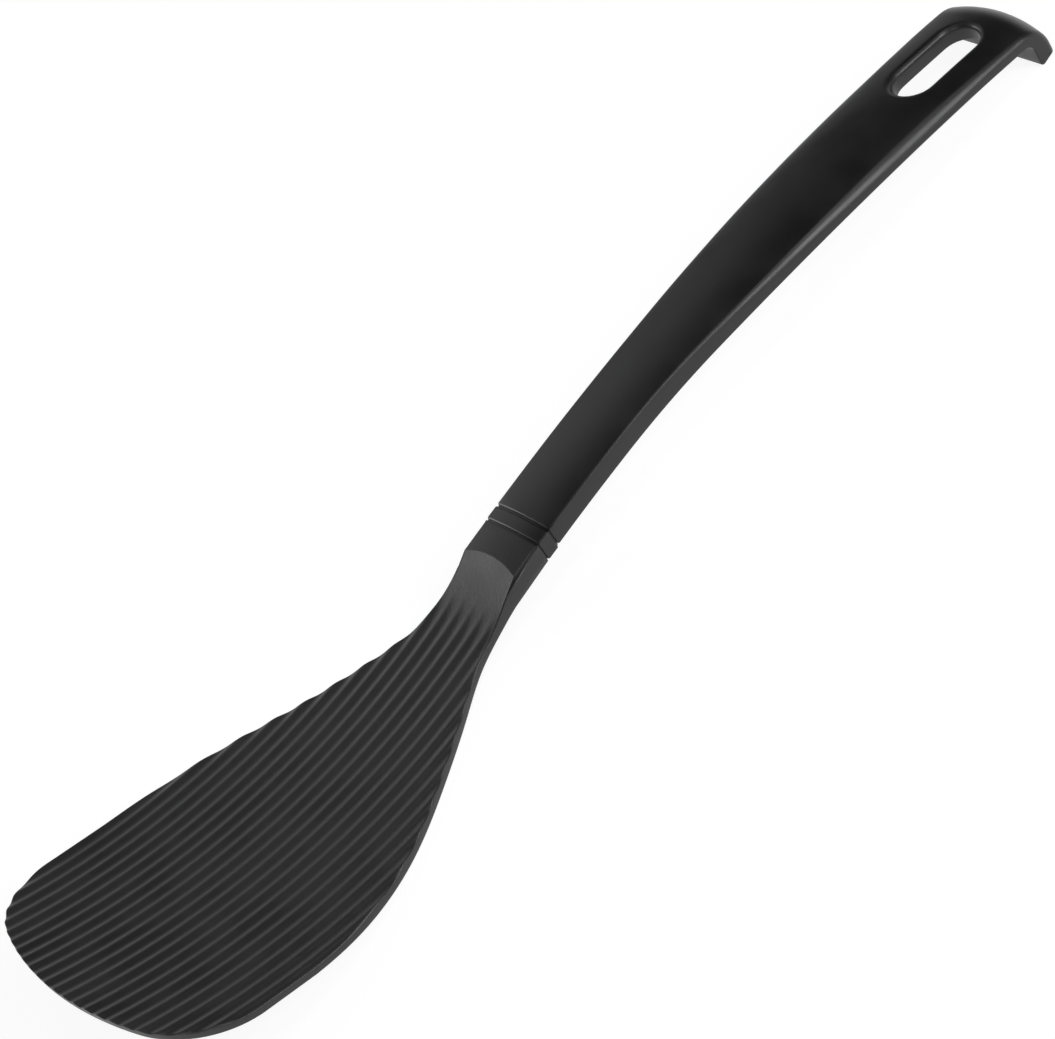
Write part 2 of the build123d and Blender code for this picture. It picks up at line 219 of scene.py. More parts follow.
def makeWearGroup():
    # Handling wear: polish on the convex edges and a few faint rubs along the paddle
    edgeStart, edgeFull = handlingWear["edge"]
    inputs = {"Edge Start": edgeStart, "Rub Amount": handlingWear["rubs"]}
    group, given, gives = newGroup("handlingWear", inputs, ("Edge", "Rubs"))
    geometry = group.nodes.new("ShaderNodeNewGeometry")
    edge = spread(group, geometry.outputs["Pointiness"], given.outputs["Edge Start"], edgeFull, 0.0, 1.0)
    stretch = group.nodes.new("ShaderNodeMapping")
    stretch.inputs["Scale"].default_value = handlingWear["streakLength"]
    place = group.nodes.new("ShaderNodeTexCoord").outputs["Object"]
    group.links.new(place, stretch.inputs["Vector"])
    streaks = noise(group, stretch.outputs["Vector"], handlingWear["streaks"], handlingWear["streakDetail"],
                    handlingWear["streakRoughness"])
    rubs = spread(group, streaks, *handlingWear["streakRange"], 0.0, given.outputs["Rub Amount"])
    group.links.new(edge, gives.inputs["Edge"])
    group.links.new(rubs, gives.inputs["Rubs"])
    return group


grainGroup = makeGrainGroup()
wearGroup = makeWearGroup()
plastics = {
    "bladeNylon": {
        "color": (0.0150, 0.0150, 0.0155), "dusty": (0.024, 0.024, 0.0245), "roughness": (0.38, 0.46),
        "pits": 1500.0, "grain": 0.35, "depth": 0.00012, "polish": 0.06, "rubs": 0.5,
    },
    "ringPlastic": {
        "color": (0.010, 0.010, 0.011), "dusty": (0.016, 0.016, 0.017), "roughness": (0.28, 0.34),
        "pits": 2400.0, "grain": 0.10, "depth": 0.00005, "polish": 0.05, "rubs": 0.3,
    },
    "handlePlastic": {
        "color": (0.0085, 0.0085, 0.0092), "dusty": (0.014, 0.014, 0.015), "roughness": (0.32, 0.40),
        "pits": 2400.0, "grain": 0.14, "depth": 0.00006, "polish": 0.06, "rubs": 0.4,
    },
    "coverPlastic": {
        "color": (0.0085, 0.0085, 0.0092), "dusty": (0.015, 0.015, 0.016), "roughness": (0.36, 0.46),
        "pits": 2000.0, "grain": 0.22, "depth": 0.00008, "polish": 0.05, "rubs": 0.6,
    },
}


def makePlastic(name):
    look = plastics[name]
    material = bpy.data.materials.new(name)
    material.use_nodes = True
    tree = material.node_tree
    shader = tree.nodes["Principled BSDF"]
    grain = tree.nodes.new("ShaderNodeGroup")
    grain.node_tree = grainGroup
    grain.inputs["Pits Per Metre"].default_value = look["pits"]
    wear = tree.nodes.new("ShaderNodeGroup")
    wear.node_tree = wearGroup
    wear.inputs["Rub Amount"].default_value = look["rubs"]
    tint = tree.nodes.new("ShaderNodeMix")
    tint.data_type = "RGBA"
    tint.inputs["A"].default_value = (*look["color"], 1)
    tint.inputs["B"].default_value = (*look["dusty"], 1)
    dust = sums(tree, "MULTIPLY_ADD", grain.outputs["Patches"], mouldGrain["dustiness"], wear.outputs["Rubs"])
    tree.links.new(dust, tint.inputs["Factor"])
    tree.links.new(tint.outputs["Result"], shader.inputs["Base Color"])
    low, high = look["roughness"]
    rough = spread(tree, grain.outputs["Patches"], 0.0, 1.0, low, high)
    worn = sums(tree, "MULTIPLY_ADD", wear.outputs["Edge"], -look["polish"], rough)
    tree.links.new(worn, shader.inputs["Roughness"])
    bump = tree.nodes.new("ShaderNodeBump")
    bump.inputs["Strength"].default_value = look["grain"]
    bump.inputs["Distance"].default_value = look["depth"]
    tree.links.new(grain.outputs["Height"], bump.inputs["Height"])
    tree.links.new(bump.outputs["Normal"], shader.inputs["Normal"])
    return material


finishes = {name: makePlastic(name) for name in plastics}
print("plastics made")

# Blade head: the plate, the scooped pad and the neck as one closed mesh; lengths are in millimetres
head = {
    "tipX": -161.85, "tipRadius": 88.0, "tipArcHalf": 26.2, "halfWidth": 41.3,
    "lengthShares": (0.24, 0.43, 0.60, 0.74, 0.84, 0.93),  # the long side's points, along it and inwards
    "dropShares": (0.030, 0.215, 0.505, 0.757, 0.917, 0.979),
    "endX": -16.4, "neckLength": 10.95, "neckHalf": 9.6, "neckDepth": 6.5, "underLength": 27.95,
    "bellyX": -74.95, "underRadius": 192.5, "plateThickness": 1.7, "scoopLength": 31.4, "scoopRadius": 58.5,
    "rim": 0.35, "neckRim": 0.45, "rimGrows": (-60.0, 30.0),  # edge rounding, and where it grows and how far
    "creaseReach": (15.0, 2.0), "creaseSoft": 0.18, "creaseTries": 40,  # the pad's end lies between these
}
headMesh = {
    "sidePoints": 1500, "tipPoints": 30, "rimSteps": 4, "wallSteps": 3, "rowLength": 2.4, "sideStep": 1.4,
    "padRows": (12, 1, 1, 4), "leastRow": 0.6, "leastGap": 0.004, "leastRibGap": 0.03, "hair": 1e-6,
}
ribs = {"pitch": 3.8, "shift": -0.80, "depth": 0.45, "root": 0.25, "soften": 0.8, "linesEach": 12}
bow = {"topX": 63.916, "height": 19.33, "radius": 608.7, "crownRadius": 57.8, "step": 0.05}


def onBlade(radius, x):
    return head["underRadius"] - math.sqrt(radius**2 - (x - head["bellyX"])**2)


def onBow(depth, x):
    return bow["height"] - bow["radius"] + math.sqrt((bow["radius"] - depth)**2 - (x - bow["topX"])**2)


def crownTop(x, y, depth):
    # The crowned upper face at a depth below the handle's upper line
    return onBow(depth + bow["crownRadius"] - math.sqrt(bow["crownRadius"]**2 - y * y), x)


def ease(share):
    share = min(max(share, 0.0), 1.0)
    return share * share * (3 - 2 * share)


def hermite(share, first, last, leave, arrive):
    return (first * (2 * share**3 - 3 * share**2 + 1) + last * (3 * share**2 - 2 * share**3)
            + leave * (share**3 - 2 * share**2 + share) + arrive * (share**3 - share**2))


def sideCurve(points, count):
    # Smooth curve through the points that leaves and arrives along X
    points = np.array(points, float)
    knots = np.concatenate([[0], np.cumsum(np.linalg.norm(np.diff(points, axis=0), axis=1))])
    gaps = np.diff(knots)
    system = np.zeros((len(points), len(points)))
    right = np.zeros((len(points), 2))
    system[0, 0] = system[-1, -1] = 1
    right[0] = right[-1] = (1, 0)
    for row in range(1, len(points) - 1):
        before, after = gaps[row - 1], gaps[row]
        system[row, row - 1:row + 2] = (after, 2 * (before + after), before)
        right[row] = 3 * (after * (points[row] - points[row - 1]) / before
                          + before * (points[row + 1] - points[row]) / after)
    slopes = np.linalg.solve(system, right)
    places = np.linspace(0, knots[-1], count)
    index = np.clip(np.searchsorted(knots, places, side="right") - 1, 0, len(gaps) - 1)
    width = gaps[index][:, None]
    share = ((places - knots[index]) / gaps[index])[:, None]
    return hermite(share, points[index], points[index + 1], width * slopes[index], width * slopes[index + 1])


def rimAt(x):
    start, length = head["rimGrows"]
    return head["rim"] + (head["neckRim"] - head["rim"]) * ease((x - start) / length)


def headPlan():
    # The plan drawn in by the rim: the tip's X over Y, the Y of the corner, and the long side
    heading = head["tipArcHalf"] / head["tipRadius"]
    corner = (head["halfWidth"] - head["tipArcHalf"]) / (1 - heading)
    run = math.sqrt(1 - heading**2)
    wideX = head["tipX"] + head["tipRadius"] * (1 - run) + corner * run
    cornerY = head["halfWidth"] - corner

    def tipAt(y):
        if abs(y) <= (head["tipRadius"] - head["rim"]) * heading:
            return head["tipX"] + head["tipRadius"] - math.sqrt((head["tipRadius"] - head["rim"])**2 - y * y)
        return wideX - math.sqrt(max((corner - head["rim"])**2 - (abs(y) - cornerY)**2, 0.0))

    neckX = head["endX"] - head["neckLength"]
    points = [(wideX, head["halfWidth"])]
    for far, low in zip(head["lengthShares"], head["dropShares"]):
        inwards = (head["halfWidth"] - head["neckHalf"]) * low
        points.append((wideX + (neckX - wideX) * far, head["halfWidth"] - inwards))
    side = sideCurve(points + [(neckX, head["neckHalf"])], headMesh["sidePoints"])
    along = np.gradient(side, axis=0)
    along /= np.linalg.norm(along, axis=1)[:, None]
    rim = np.array([rimAt(x) for x in side[:, 0]])[:, None]
    side = side - np.stack([-along[:, 1], along[:, 0]], 1) * rim
    turns = np.linspace(math.asin(heading), math.pi / 2, headMesh["tipPoints"])
    return tipAt, cornerY + (corner - head["rim"]) * np.sin(turns), side


def headTop(x, y):
    # The upper face without ribs, and how far it has risen over the plate
    plateRadius = head["underRadius"] - head["plateThickness"]
    plate = onBlade(plateRadius, x)
    scoopX = head["endX"] - head["scoopLength"]
    if x <= scoopX:
        return plate, 0.0
    lean = (scoopX - head["bellyX"]) / plateRadius
    centreX = scoopX - lean * head["scoopRadius"]
    centreZ = onBlade(plateRadius, scoopX) + math.sqrt(1 - lean * lean) * head["scoopRadius"]
    run = min(x - centreX, head["scoopRadius"])
    scoop = centreZ - math.sqrt(head["scoopRadius"]**2 - run * run)
    top = min(scoop, crownTop(x, y, 2 * bow["step"]))
    return top, top - plate


def crease(y):
    # Where the pad meets the neck's crown
    low, high = (head["endX"] - reach for reach in head["creaseReach"])
    for _ in range(head["creaseTries"]):
        middle = (low + high) / 2
        if headTop(middle, y)[0] < crownTop(middle, y, 2 * bow["step"]):
            low = middle
        else:
            high = middle
    return low


def headUnder(x):
    underX = head["endX"] - head["underLength"]
    start = onBlade(head["underRadius"], min(x, underX))
    if x <= underX:
        return start
    shoulder = onBow(2 * bow["step"] + head["neckDepth"], head["endX"])
    leave = (underX - head["bellyX"]) / (head["underRadius"] - start)
    arrive = (bow["topX"] - head["endX"]) / bow["radius"]
    chord = math.hypot(head["endX"] - underX, shoulder - start)
    share = (x - underX) / (head["endX"] - underX)
    return hermite(share, start, shoulder,
                   chord * leave / math.hypot(1, leave), chord * arrive / math.hypot(1, arrive))


def headLines(cornerY, side):
    # Y of the mesh lines: a dozen to each rib, and more where the outline runs nearly along them
    walked = np.concatenate([[0], np.cumsum(np.linalg.norm(np.diff(side, axis=0), axis=1))])
    places = np.arange(0, walked[-1], headMesh["sideStep"])
    outline = [float(np.interp(place, walked, side[:, 1])) for place in places]
    outline = sorted(outline + [float(value) for value in cornerY] + [float(side[-1, 1])], reverse=True)
    kept = []
    for value in outline:
        if not kept or kept[-1] - value > headMesh["leastGap"]:
            kept.append(value)
    kept[-1] = float(side[-1, 1])
    gap = ribs["pitch"] / ribs["linesEach"]
    for number in range(int(kept[0] / gap) + 1):
        if min(abs(number * gap - value) for value in kept) > headMesh["leastRibGap"]:
            kept.append(number * gap)
    half = sorted(value for value in kept if value > 0)
    return [-value for value in reversed(half)] + [0.0] + half


def headRows(y, tipAt, side):
    # X of the mesh points on one line, from the tip to the outline's other side
    neckY = side[-1, 1]
    scoopX = head["endX"] - head["scoopLength"]
    fold = crease(min(abs(y), neckY))
    soft = head["creaseSoft"]
    if abs(y) <= neckY + headMesh["hair"]:
        last = head["endX"] - head["neckRim"]
        stops = [tipAt(y), scoopX, fold - soft, fold, fold + soft, last]
    else:
        last = float(np.interp(abs(y), side[::-1, 1], side[::-1, 0]))
        stops = [tipAt(y), min(scoopX, last)] + [min(fold - soft, last)] * 3 + [last]
    counts = (int((scoopX - head["tipX"]) / headMesh["rowLength"]), *headMesh["padRows"])
    if last - stops[0] < headMesh["leastRow"]:
        return [last] * (sum(counts) + 1)
    rows = [stops[0]]
    for low, high, count in zip(stops, stops[1:], counts):
        rows += [low + (high - low) * (step + 1) / count for step in range(count)]
    return rows


def addFace(bm, corners):
    distinct = [corner for index, corner in enumerate(corners) if corner not in corners[:index]]
    if len(distinct) > 2:
        bm.faces.new(distinct)


def addStrip(bm, first, second):
    for (a, b), (d, c) in zip(zip(first, first[1:]), zip(second, second[1:])):
        addFace(bm, (a, b, c, d))


def finishedMesh(bm, name):
    bmesh.ops.scale(bm, vec=(millimetre,) * 3, verts=bm.verts)
    bmesh.ops.recalc_face_normals(bm, faces=bm.faces)
    for face in bm.faces:
        face.smooth = True
    mesh = bpy.data.meshes.new(name)
    bm.to_mesh(mesh)
    bm.free()
    return mesh


def pushedRing(loop, grow, pointAt):
    # Points pushed out from the loop by a share of the rim, at a height of their own
    made = []
    for index, vertex in enumerate(loop):
        before = (vertex.co - loop[index - 1].co).xy.normalized()
        after = (loop[(index + 1) % len(loop)].co - vertex.co).xy.normalized()
        first, second = Vector((before.y, -before.x)), Vector((after.y, -after.x))
        outward = (first + second) / (1 + first.dot(second))
        place = vertex.co.xy + outward * rimAt(vertex.co.x) * grow
        made.append(pointAt(place.x, place.y, rimAt(vertex.co.x)))
    return made


def openOutline(bm, ribShare):
    # The open outline of the upper face, walked round from its foremost point
    follow = {}
    for edge in bm.edges:
        if len(edge.link_faces) == 1 and edge.verts[0][ribShare] > 0:
            for vertex in edge.verts:
                follow.setdefault(vertex, []).append(edge.other_vert(vertex))
    loop = [min(follow, key=lambda vertex: vertex.co.x)]
    loop.append(min(follow[loop[0]], key=lambda vertex: vertex.co.y))
    while True:
        onward = [vertex for vertex in follow[loop[-1]] if vertex is not loop[-2]][0]
        if onward is loop[0]:
            return loop
        loop.append(onward)


def makeHeadMesh():
    tipAt, cornerY, side = headPlan()
    bm = bmesh.new()
    ribShare = bm.verts.layers.float.new("ribShare")
    padRise = bm.verts.layers.float.new("padRise")
    known = {}

    def addVertex(x, y, z, share=0.0, rise=0.0):
        vertex = bm.verts.new((x, y, z))
        vertex[ribShare], vertex[padRise] = share, rise * millimetre
        return vertex

    def gridPair(x, y):
        key = (round(x, 5), round(y, 5))
        if key not in known:
            top, rise = headTop(x, y)
            known[key] = addVertex(x, y, top, 1.0, rise), addVertex(x, y, headUnder(x))
        return known[key]

    lines = headLines(cornerY, side)
    grid = [[(x, y) for x in headRows(y, tipAt, side)] for y in lines]
    for left, right in zip(grid, grid[1:]):
        for (a, b), (d, c) in zip(zip(left, left[1:]), zip(right, right[1:])):
            pairs = [gridPair(*place) for place in (a, b, c, d)]
            addFace(bm, [pair[0] for pair in pairs])
            addFace(bm, [pair[1] for pair in reversed(pairs)])
    print("head grid", len(bm.verts), "points")
    loop = openOutline(bm, ribShare)
    below = dict(known.values())
    lower = [below[vertex] for vertex in loop]

    def upperRim(turn):
        def place(x, y, rim):
            top, rise = headTop(x, y)
            return addVertex(x, y, top - rim * (1 - math.cos(turn)), 1.0, rise)
        return place

    def wall(share):
        def place(x, y, rim):
            top, rise = headTop(x, y)
            high, low = top - rim, headUnder(x) + rim
            return addVertex(x, y, high + (low - high) * share, 1 - share, rise)
        return place

    def lowerRim(turn):
        def place(x, y, rim):
            return addVertex(x, y, headUnder(x) + rim * (1 - math.cos(turn)))
        return place

    rimSteps, wallSteps = headMesh["rimSteps"], headMesh["wallSteps"]
    turns = [math.pi / 2 * (step + 1) / rimSteps for step in range(rimSteps)]
    rings = [loop] + [pushedRing(loop, math.sin(turn), upperRim(turn)) for turn in turns]
    rings += [pushedRing(loop, 1.0, wall((step + 1) / wallSteps)) for step in range(wallSteps)]
    rings += [pushedRing(loop, math.sin(turn), lowerRim(turn)) for turn in reversed(turns[:-1])] + [lower]
    endX = head["endX"] - tangJoint["open"]
    for upper, under in zip(rings, rings[1:]):
        for index in range(len(loop)):
            corners = (upper[index - 1], under[index - 1], under[index], upper[index])
            if min(corner.co.x for corner in corners) < endX:
                addFace(bm, corners)
    addTang(bm)
    return finishedMesh(bm, "bladeHead")


# Joint of the neck and the tang
tangJoint = {
    "open": 1e-4,  # faces nearer to the neck's end than this are left out, so that the end stays open
    "weld": 0.002, "cut": 0.02, "cutGap": 1e-5,  # the CAD blade's points are merged, then cut behind the neck
    "snap": 0.03,  # points nearer than this move onto the neck's end
}


def addTang(bm):
    # The tang is cut from the CAD blade behind the neck and joined to the open end of the neck
    hole = [edge for edge in bm.edges if len(edge.link_faces) == 1]
    print("open edges at the neck", len(hole), "length", round(sum(edge.calc_length() for edge in hole), 2))
    cad = bmesh.new()
    cad.from_mesh(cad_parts["blade"].data)
    bmesh.ops.scale(cad, vec=(1 / millimetre,) * 3, verts=cad.verts)
    bmesh.ops.remove_doubles(cad, verts=cad.verts, dist=tangJoint["weld"])
    bmesh.ops.bisect_plane(cad, geom=cad.verts[:] + cad.edges[:] + cad.faces[:], dist=tangJoint["cutGap"],
                           plane_co=(head["endX"] + tangJoint["cut"], 0, 0), plane_no=(1, 0, 0),
                           clear_inner=True)
    copies = {}
    for vertex in cad.verts:
        x = head["endX"] if vertex.co.x < head["endX"] + tangJoint["snap"] else vertex.co.x
        copies[vertex] = bm.verts.new((x, vertex.co.y, vertex.co.z))
    for face in cad.faces:
        bm.faces.new([copies[vertex] for vertex in face.verts])
    cad.free()
    root = [edge for edge in bm.edges if len(edge.link_faces) == 1]
    print("open edges with the tang", len(root))
    made = bmesh.ops.triangle_fill(bm, use_beauty=True, use_dissolve=False, edges=root, normal=(1, 0, 0))
    for item in made["geom"]:
        if isinstance(item, bmesh.types.BMFace):
            for edge in item.edges:
                edge.smooth = False
    print("still open", sum(1 for edge in bm.edges if len(edge.link_faces) != 2))


def makeRibTree():
    # Rounded ribs as a rule: a wave across the paddle lifts the upper face until the pad has risen over it
    tree = bpy.data.node_groups.new("bladeRibs", "GeometryNodeTree")
    face = tree.interface
    face.new_socket("Geometry", in_out="INPUT", socket_type="NodeSocketGeometry")
    sizes = {
        "Rib Pitch": ribs["pitch"], "Rib Shift": ribs["shift"], "Rib Depth": ribs["depth"],
        "Rib Root": ribs["root"], "Pad Soften": ribs["soften"],
        "Axis Height": head["underRadius"], "Axis X": head["bellyX"],
    }
    for label in sizes:
        face.new_socket(label, in_out="INPUT", socket_type="NodeSocketFloat")
    face.new_socket("Finish", in_out="INPUT", socket_type="NodeSocketMaterial")
    face.new_socket("Geometry", in_out="OUTPUT", socket_type="NodeSocketGeometry")
    nodes, links = tree.nodes, tree.links
    given = nodes.new("NodeGroupInput").outputs

    def attribute(name):
        node = nodes.new("GeometryNodeInputNamedAttribute")
        node.data_type = "FLOAT"
        node.inputs["Name"].default_value = name
        return node.outputs["Attribute"]

    place = nodes.new("ShaderNodeSeparateXYZ")
    links.new(nodes.new("GeometryNodeInputPosition").outputs["Position"], place.inputs[0])
    x, y, z = place.outputs
    shifted = sums(tree, "SUBTRACT", y, given["Rib Shift"])
    turns = sums(tree, "DIVIDE", sums(tree, "MULTIPLY", shifted, math.tau), given["Rib Pitch"])
    swing = sums(tree, "MULTIPLY_ADD", sums(tree, "COSINE", turns), 0.5, 0.5)
    wave = sums(tree, "MULTIPLY_ADD", swing, given["Rib Depth"], given["Rib Root"])
    over = sums(tree, "SUBTRACT", given["Axis Height"], z)
    across = sums(tree, "SUBTRACT", x, given["Axis X"])
    squares = sums(tree, "ADD", sums(tree, "MULTIPLY", over, over), sums(tree, "MULTIPLY", across, across))
    reach = sums(tree, "SQRT", squares)
    upright = sums(tree, "MULTIPLY", wave, sums(tree, "DIVIDE", reach, over))
    rise = attribute("padRise")
    joined = sums(tree, "SMOOTH_MAX", upright, rise, given["Pad Soften"])
    lift = sums(tree, "MULTIPLY", sums(tree, "SUBTRACT", joined, rise), attribute("ribShare"))
    offset = nodes.new("ShaderNodeCombineXYZ")
    links.new(lift, offset.inputs["Z"])
    move = nodes.new("GeometryNodeSetPosition")
    links.new(given["Geometry"], move.inputs["Geometry"])
    links.new(offset.outputs[0], move.inputs["Offset"])
    real = nodes.new("GeometryNodeRealizeInstances")
    links.new(move.outputs["Geometry"], real.inputs["Geometry"])
    paint = nodes.new("GeometryNodeSetMaterial")
    links.new(real.outputs["Geometry"], paint.inputs["Geometry"])
    links.new(given["Finish"], paint.inputs["Material"])
    links.new(paint.outputs["Geometry"], nodes.new("NodeGroupOutput").inputs["Geometry"])
    return tree, sizes


def grown(name, mesh, tree, sizes, finish):
    # Runs a tree on a mesh and gives the result as a plain object
    item = bpy.data.objects.new(name, mesh)
    bpy.context.scene.collection.objects.link(item)
    modifier = item.modifiers.new(name, "NODES")
    modifier.node_group = tree
    sockets = {socket.name: socket.identifier for socket in tree.interface.items_tree
               if socket.in_out == "INPUT"}
    for label, value in sizes.items():
        modifier[sockets[label]] = value * millimetre
    modifier[sockets["Finish"]] = finish
    ready = item.evaluated_get(bpy.context.evaluated_depsgraph_get())
    plain = bpy.data.meshes.new_from_object(ready)
    item.modifiers.clear()
    item.data = plain
    plain.name = name
    return item


def makeBladeHead():
    tree, sizes = makeRibTree()
    item = grown("bladeHead", makeHeadMesh(), tree, sizes, finishes["bladeNylon"])
    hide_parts("blade")
    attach(item, "root")
    print("blade head", len(item.data.polygons), "faces")


makeBladeHead()

# Handle shell: a closed mesh along the bow, whose edges grow rounder towards the hook; millimetres again
handle = {
    "frontX": -12.1, "endX": 161.85, "depth": 5.36, "underTopX": 67.395, "underRadius": 588.5,
    "waistX": 15.0, "waistHalf": 9.7, "fullX": 130.0, "fullHalf": 14.4, "swellShare": 0.28,
    "lift": 0.35, "liftX": 28.0, "liftReach": 40.0,  # the upper face is a little higher near the waist
    "topEdge": (0.5, 2.4, 1.4), "lowEdge": (0.3, 0.4, 0.4), "frontEdge": 0.5,
    "edgeGrows": (15.0, 122.0, 151.0),  # where the three radii of an edge hold
    "sharpAngle": 32.0,
}
handleMesh = {
    "cornerSteps": 6, "rowSteps": 8, "wallSteps": 3, "stationStep": 2.0, "hookSteps": (9, 3, 4),
    "frontSteps": 4, "middleSteps": 7, "mouthTries": 6, "hair": 1e-6,
}
hook = {
    "thickness": 6.8, "innerRadius": 2.5, "outerRadius": 8.0, "planRadius": 60.0, "footRadius": 1.0,
    "shiftStart": 138.0,  # from here on the sections lean into the hook's round end
}
slot = {
    "x": 138.25, "halfStraight": 7.55, "radius": 5.65, "rim": 1.6, "underRim": 0.4,
    "rimSteps": 5, "endSteps": 8,
}
recess = {
    "frontX": -10.2, "endX": 119.15, "wall": 1.8, "rise": 1.2, "corner": 3.0, "overrun": 3.0,
    "tangHalf": 6.4, "tangEndX": 39.0, "tangTop": 1.9, "tangLow": 3.7,
    "postXs": (4.22, 25.64, 56.88, 110.08), "boreRadius": 1.6, "postTop": 1.0, "boreSides": 32,
    "cornerSteps": 8, "coverPlaces": 60, "tangPlaces": 26, "passagePlaces": 5,
}


def handleHalf(x):
    # Half width of the handle: straight at the waist, then two tangent arcs
    span, swell = handle["fullX"] - handle["waistX"], handle["fullHalf"] - handle["waistHalf"]
    meetX = handle["waistX"] + span * handle["swellShare"]
    if x <= handle["waistX"]:
        return handle["waistHalf"]
    if x >= handle["fullX"]:
        return handle["fullHalf"]
    share = handle["swellShare"] if x < meetX else 1 - handle["swellShare"]
    radius = ((span * share)**2 + (swell * share)**2) / (2 * swell * share)
    if x < meetX:
        return handle["waistHalf"] + radius - math.sqrt(radius**2 - (x - handle["waistX"])**2)
    return handle["fullHalf"] - radius + math.sqrt(radius**2 - (handle["fullX"] - x)**2)


def handleUnder(x):
    centre = bow["height"] - handle["depth"] - handle["underRadius"]
    return centre + math.sqrt(handle["underRadius"]**2 - (x - handle["underTopX"])**2)


def endBulge(y):
    return hook["planRadius"] - math.sqrt(hook["planRadius"]**2 - y * y)


def mouthHalf(x, radius):
    # Half width of the slot's mouth, whose outline has this radius at its round ends
    beyond = abs(x - slot["x"]) - slot["halfStraight"]
    return math.sqrt(max(radius**2 - max(beyond, 0.0)**2, 0.0))


def handleStations():
    # Places along the handle: a name for the stretch, where on it, and how far the section is drawn in
    rim = slot["radius"] + slot["rim"]
    front, edge = handle["frontX"], handle["frontEdge"]
    stations = []
    for step in range(handleMesh["frontSteps"] + 1):
        turn = math.pi / 2 * step / handleMesh["frontSteps"]
        stations.append(("bar", front + edge * (1 - math.cos(turn)), edge * (1 - math.sin(turn))))
    turns = [math.pi / 2 * step / slot["endSteps"] for step in range(slot["endSteps"] + 1)]
    opens = [slot["x"] - slot["halfStraight"] - rim * math.sin(turn) for turn in reversed(turns)]
    closes = [slot["x"] + slot["halfStraight"] + rim * math.sin(turn) for turn in turns]
    count = round((opens[0] - stations[-1][1]) / handleMesh["stationStep"])
    bar = list(np.linspace(stations[-1][1], opens[0], count + 1)[1:-1]) + opens
    bar += list(np.linspace(opens[-1], closes[0], handleMesh["middleSteps"] + 1)[1:-1]) + closes
    bar += [(closes[-1] + hookStart()) / 2, hookStart()]
    stations += [("bar", float(x), 0.0) for x in bar]
    for name, steps in zip(("round", "face", "foot"), handleMesh["hookSteps"]):
        stations += [(name, (step + 1) / steps, 0.0) for step in range(steps)]
    return stations, opens[0], closes[-1]


def hookLean():
    return math.atan((handle["endX"] - hook["outerRadius"] - bow["topX"]) / bow["radius"])


def hookStart():
    return handle["endX"] - hook["outerRadius"] * (1 - math.sin(hookLean()))


def upperPoint(station, y):
    # A point of the outer skin, from the collar over the hook to its foot, and the way into the plastic
    name, place, inset = station
    if name == "bar":
        share = ease((place - hook["shiftStart"]) / (hookStart() - hook["shiftStart"]))
        x = place - endBulge(y) * share
        lift = handle["lift"] * ease(1 - abs(x - handle["liftX"]) / handle["liftReach"])
        return x, crownTop(x, y, inset) + lift, 0.0, -1.0
    lean, radius, foot = hookLean(), hook["outerRadius"], hook["footRadius"]
    endX = handle["endX"] - endBulge(y)
    centreX = endX - radius
    centreZ = crownTop(centreX + radius * math.sin(lean), y, 0.0) - radius * math.cos(lean)
    if name == "round":
        turn = lean + (math.pi / 2 - lean) * place
        across, up = math.sin(turn), math.cos(turn)
        return centreX + radius * across, centreZ + radius * up, -across, -up
    if name == "face":
        return endX, centreZ + (foot - centreZ) * place, -1.0, 0.0
    across, up = math.cos(math.pi / 2 * place), math.sin(math.pi / 2 * place)
    return endX - foot * (1 - across), foot * (1 - up), -across, up


def lowerPoint(station, y):
    # The same for the underside and the inner face of the hook, which are level from side to side
    name, place, inset = station
    bendX = handle["endX"] - hook["thickness"] - hook["innerRadius"]
    if name == "bar":
        outer, inner = slot["radius"] + slot["rim"], slot["radius"] + slot["underRim"]
        half = slot["halfStraight"]
        marks = [handle["frontX"], slot["x"] - 2 * (half + outer), slot["x"] - half - outer, slot["x"] - half,
                 slot["x"] + half, slot["x"] + half + outer, hookStart()]
        under = marks[:2] + [slot["x"] - half - inner, *marks[3:5], slot["x"] + half + inner, bendX]
        x = float(np.interp(place, marks, under))
        return x, handleUnder(x) + inset, 0.0, 1.0
    low, radius, foot = handleUnder(bendX), hook["innerRadius"], hook["footRadius"]
    sine, cosine = math.sin(math.pi / 2 * place), math.cos(math.pi / 2 * place)
    if name == "round":
        return bendX + radius * sine, low - radius * (1 - cosine), sine, cosine
    if name == "face":
        return bendX + radius, low - radius + (foot - low + radius) * place, 1.0, 0.0
    return bendX + radius + foot * (1 - cosine), foot * (1 - sine), cosine, sine


def wallColumn(bm, top, low):
    # Points of a wall, in a straight line from the upper skin down to the lower skin
    steps = handleMesh["wallSteps"]
    return [top, *[bm.verts.new(top.co.lerp(low.co, (step + 1) / steps)) for step in range(steps - 1)], low]


def closeEnds(bm, tops, lows, walls):
    # The front face and the hook's foot
    for number in (0, -1):
        high = tops[number][0] + tops[number][1][-2::-1]
        low = lows[number][0] + lows[number][1][-2::-1]
        columns = [walls[number][0]]
        columns += [wallColumn(bm, first, last) for first, last in zip(high[1:-1], low[1:-1])]
        columns.append(walls[number][1])
        for first, second in zip(columns, columns[1:]):
            addStrip(bm, first, second)


def mouthRing(bm, loop, offset, heightAt):
    # The slot's outline grown by the offset, at a height of its own
    half = slot["halfStraight"]
    made = []
    for vertex in loop:
        middle = Vector((min(max(vertex.co.x, slot["x"] - half), slot["x"] + half), 0))
        place = middle + (vertex.co.xy - middle).normalized() * (slot["radius"] + offset)
        made.append(bm.verts.new((place.x, place.y, heightAt(place.x, place.y))))
    return made


